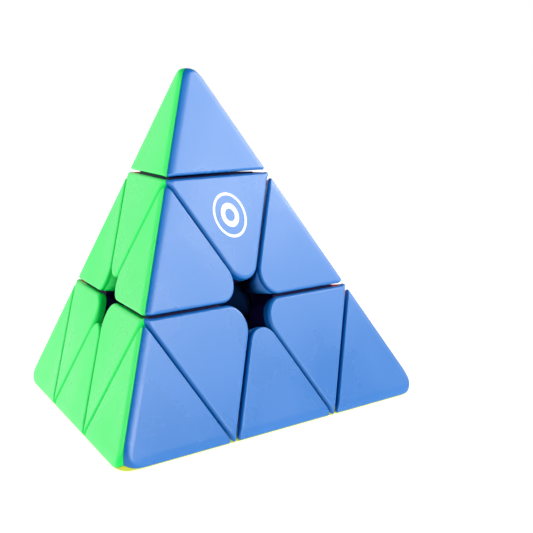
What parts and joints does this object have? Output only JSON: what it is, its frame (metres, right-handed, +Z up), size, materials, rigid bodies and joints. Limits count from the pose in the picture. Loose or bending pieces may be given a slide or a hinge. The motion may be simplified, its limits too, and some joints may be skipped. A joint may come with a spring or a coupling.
{
  "type": "pyramid twisty puzzle",
  "caption": "Stickerless tetrahedral twisty puzzle: turning layers and spinning tips on a screwed core, rounded corners, coloured faces and a hollow at the middle of each face.",
  "frame": {"origin": "the centre of the core, where the four turning axes cross; it is also the centre of the tetrahedron", "axes": "+Z up through the top corner, -Y towards the blue face, +X to the right of the blue face; the puzzle rests on its yellow face, below"},
  "size_m": [0.1034, 0.0902, 0.0849],
  "materials": {
    "blue": "glossy moulded plastic with fine handling scratches",
    "green": "glossy moulded plastic",
    "red": "glossy moulded plastic",
    "yellow": "glossy moulded plastic",
    "purple": "satin moulded plastic, dark purple",
    "steel": "plated screw",
    "magnet": "nickel-plated magnet"
  },
  "bodies": {
    "core": {"core": "purple", "screw_top": "steel", "upper_ring_magnet_top": "magnet", "screw_left": "steel", "upper_ring_magnet_left": "magnet", "screw_right": "steel", "upper_ring_magnet_right": "magnet", "screw_back": "steel", "upper_ring_magnet_back": "magnet"},
    "axial_top": {"axial_base_top": "purple", "lower_ring_magnet_top": "magnet", "axial_top_blue_cap": "blue", "axial_top_green_cap": "green", "axial_top_red_cap": "red"},
    "axial_left": {"axial_base_left": "purple", "lower_ring_magnet_left": "magnet", "axial_left_blue_cap": "blue", "axial_left_green_cap": "green", "axial_left_yellow_cap": "yellow"},
    "axial_right": {"axial_base_right": "purple", "lower_ring_magnet_right": "magnet", "axial_right_blue_cap": "blue", "axial_right_red_cap": "red", "axial_right_yellow_cap": "yellow"},
    "axial_back": {"axial_base_back": "purple", "lower_ring_magnet_back": "magnet", "axial_back_green_cap": "green", "axial_back_red_cap": "red", "axial_back_yellow_cap": "yellow"},
    "tip_top": {"tip_core_top": "purple", "tip_top_blue_cap": "blue", "tip_top_green_cap": "green", "tip_top_red_cap": "red"},
    "tip_left": {"tip_core_left": "purple", "tip_left_blue_cap": "blue", "tip_left_green_cap": "green", "tip_left_yellow_cap": "yellow"},
    "tip_right": {"tip_core_right": "purple", "tip_right_blue_cap": "blue", "tip_right_red_cap": "red", "tip_right_yellow_cap": "yellow"},
    "tip_back": {"tip_core_back": "purple", "tip_back_green_cap": "green", "tip_back_red_cap": "red", "tip_back_yellow_cap": "yellow"},
    "edge_top_left": {"edge_top_left_blue_half": "blue", "edge_top_left_green_half": "green"},
    "edge_top_right": {"edge_top_right_blue_half": "blue", "edge_top_right_red_half": "red"},
    "edge_top_back": {"edge_top_back_green_half": "green", "edge_top_back_red_half": "red"},
    "edge_left_right": {"edge_left_right_blue_half": "blue", "edge_left_right_yellow_half": "yellow"},
    "edge_left_back": {"edge_left_back_green_half": "green", "edge_left_back_yellow_half": "yellow"},
    "edge_right_back": {"edge_right_back_red_half": "red", "edge_right_back_yellow_half": "yellow"}
  },
  "joints": [
    {"name": "turn_top", "type": "hinge", "parent": "core", "child": "axial_top", "pos_m": [0, 0, 0], "axis": [0, 0, 1], "continuous": true},
    {"name": "turn_left", "type": "hinge", "parent": "core", "child": "axial_left", "pos_m": [0, 0, 0], "axis": [-0.8165, -0.4714, -0.3333], "range_deg": [-360, 360]},
    {"name": "turn_right", "type": "hinge", "parent": "core", "child": "axial_right", "pos_m": [0, 0, 0], "axis": [0.8165, -0.4714, -0.3333], "range_deg": [-360, 360]},
    {"name": "turn_back", "type": "hinge", "parent": "core", "child": "axial_back", "pos_m": [0, 0, 0], "axis": [0, 0.9428, -0.3333], "range_deg": [-360, 360]},
    {"name": "tip_top_spin", "type": "hinge", "parent": "axial_top", "child": "tip_top", "pos_m": [0, 0, 0], "axis": [0, 0, 1], "continuous": true},
    {"name": "tip_left_spin", "type": "hinge", "parent": "axial_left", "child": "tip_left", "pos_m": [0, 0, 0], "axis": [-0.8165, -0.4714, -0.3333], "continuous": true},
    {"name": "tip_right_spin", "type": "hinge", "parent": "axial_right", "child": "tip_right", "pos_m": [0, 0, 0], "axis": [0.8165, -0.4714, -0.3333], "continuous": true},
    {"name": "tip_back_spin", "type": "hinge", "parent": "axial_back", "child": "tip_back", "pos_m": [0, 0, 0], "axis": [0, 0.9428, -0.3333], "continuous": true},
    {"name": "edge_top_left_turn", "type": "hinge", "parent": "axial_top", "child": "edge_top_left", "pos_m": [0, 0, 0], "axis": [-0.8165, -0.4714, -0.3333], "range_deg": [-360, 360]},
    {"name": "edge_top_right_turn", "type": "hinge", "parent": "axial_top", "child": "edge_top_right", "pos_m": [0, 0, 0], "axis": [0.8165, -0.4714, -0.3333], "range_deg": [-360, 360]},
    {"name": "edge_top_back_turn", "type": "hinge", "parent": "axial_top", "child": "edge_top_back", "pos_m": [0, 0, 0], "axis": [0, 0.9428, -0.3333], "range_deg": [-360, 360]},
    {"name": "edge_left_right_turn", "type": "hinge", "parent": "axial_left", "child": "edge_left_right", "pos_m": [0, 0, 0], "axis": [0.8165, -0.4714, -0.3333], "range_deg": [-360, 360]},
    {"name": "edge_left_back_turn", "type": "hinge", "parent": "axial_left", "child": "edge_left_back", "pos_m": [0, 0, 0], "axis": [0, 0.9428, -0.3333], "range_deg": [-360, 360]},
    {"name": "edge_right_back_turn", "type": "hinge", "parent": "axial_right", "child": "edge_right_back", "pos_m": [0, 0, 0], "axis": [0, 0.9428, -0.3333], "range_deg": [-360, 360]}
  ],
  "couplings": [
    {"joint": "edge_top_left_turn", "follows": "turn_left", "ratio": 1},
    {"joint": "edge_top_right_turn", "follows": "turn_right", "ratio": 1},
    {"joint": "edge_top_back_turn", "follows": "turn_back", "ratio": 1},
    {"joint": "edge_left_right_turn", "follows": "turn_right", "ratio": 1},
    {"joint": "edge_left_back_turn", "follows": "turn_back", "ratio": 1},
    {"joint": "edge_right_back_turn", "follows": "turn_back", "ratio": 1}
  ]
}
